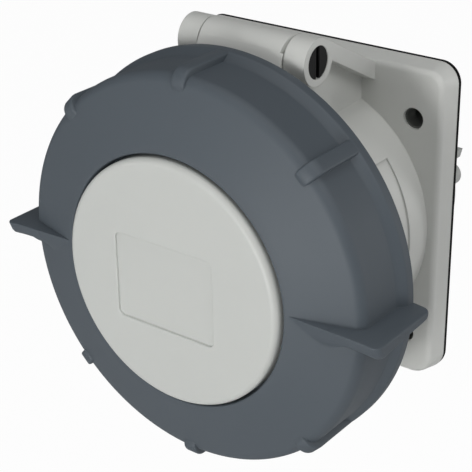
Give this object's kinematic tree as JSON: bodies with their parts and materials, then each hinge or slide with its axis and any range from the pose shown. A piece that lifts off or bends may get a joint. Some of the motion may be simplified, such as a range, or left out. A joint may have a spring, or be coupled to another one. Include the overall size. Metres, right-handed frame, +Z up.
{
  "type": "industrial panel socket",
  "caption": "Round industrial power socket on a rectangular panel flange, with a hinged sprung lid and a winged bayonet locking ring that turns on the lid.",
  "frame": {"origin": "where the socket's axis meets the plane of the panel, at the back of the gasket and in the middle of the four fixing holes", "axes": "+Z up, towards the hinge; -Y out of the panel along the socket's axis, towards a person who plugs in; +X to that person's right"},
  "size_m": [0.1458, 0.11, 0.1376],
  "materials": {
    "grey_shell": "fine satin moulded plastic, light grey",
    "grey_cap": "fine satin moulded plastic, light grey",
    "grey_rear": "satin moulded plastic, grey",
    "blue_grey_ring": "satin moulded plastic, dark blue-grey",
    "dark_insulator": "matte moulded plastic, near black",
    "black_bush": "smooth black plastic",
    "black_rubber": "matte black rubber",
    "brass": "turned brass",
    "steel": "bright zinc-plated steel"
  },
  "bodies": {
    "socket_body": {"flange_housing": "grey_shell", "panel_gasket": "black_rubber", "contact_carrier": "dark_insulator", "carrier_seal": "black_rubber", "rear_housing": "grey_rear", "line_contact_1": "brass", "line_contact_2": "brass", "line_contact_3": "brass", "neutral_contact": "brass", "earth_contact": "brass", "pilot_contact": "brass", "contact_springs": "steel", "line_terminal_1": "brass", "line_terminal_2": "brass", "line_terminal_3": "brass", "neutral_terminal": "brass", "earth_terminal": "brass", "pilot_terminal": "brass", "terminal_screws": "steel", "housing_screws": "steel", "hinge_bush_left": "black_bush", "hinge_bush_right": "black_bush", "hinge_shaft": "steel", "hinge_spring": "steel"},
    "lid_body": {"lid": "grey_shell", "lid_seal": "black_rubber", "lid_cap": "grey_cap", "cap_screws": "steel"},
    "ring_body": {"locking_ring": "blue_grey_ring"}
  },
  "joints": [
    {"name": "lid_hinge", "type": "hinge", "parent": "socket_body", "child": "lid_body", "pos_m": [0, -0.0412, 0.0632], "axis": [-1, 0, 0], "range_deg": [0, 115], "stiffness_Nm_per_rad": 0.06, "springref_deg": -68.75},
    {"name": "ring_turn", "type": "hinge", "parent": "lid_body", "child": "ring_body", "pos_m": [0, -0.06, 0], "axis": [0, 1, 0], "range_deg": [0, 40]}
  ]
}
